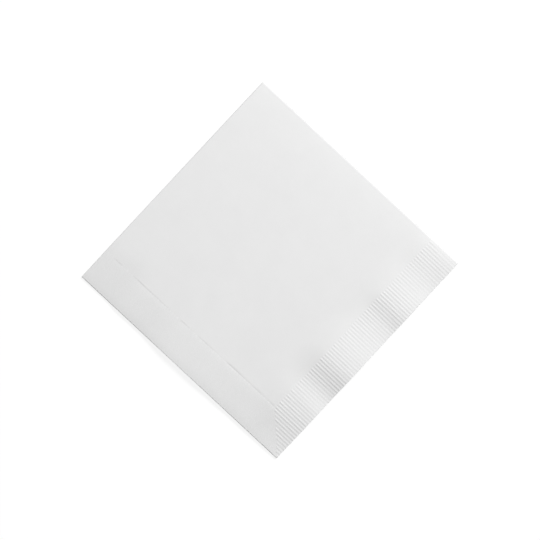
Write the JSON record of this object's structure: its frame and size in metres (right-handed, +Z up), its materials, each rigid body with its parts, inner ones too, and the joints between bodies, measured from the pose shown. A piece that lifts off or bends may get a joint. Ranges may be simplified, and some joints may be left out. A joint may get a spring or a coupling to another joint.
{
  "type": "paper napkin",
  "caption": "Quarter-folded square paper napkin with fine pressed ribs along its two open sides, lying flat.",
  "frame": {"origin": "centre of the folded square, on the surface that the napkin lies on", "axes": "+X towards the last fold, +Y towards the first fold, +Z up, out of the folded square; the sides at -X and -Y are open and ribbed"},
  "size_m": [0.127, 0.127, 0.0019],
  "materials": {
    "tissue": "matt, soft, faintly creped white tissue"
  },
  "bodies": {
    "root": {"napkin": "tissue"}
  },
  "joints": []
}
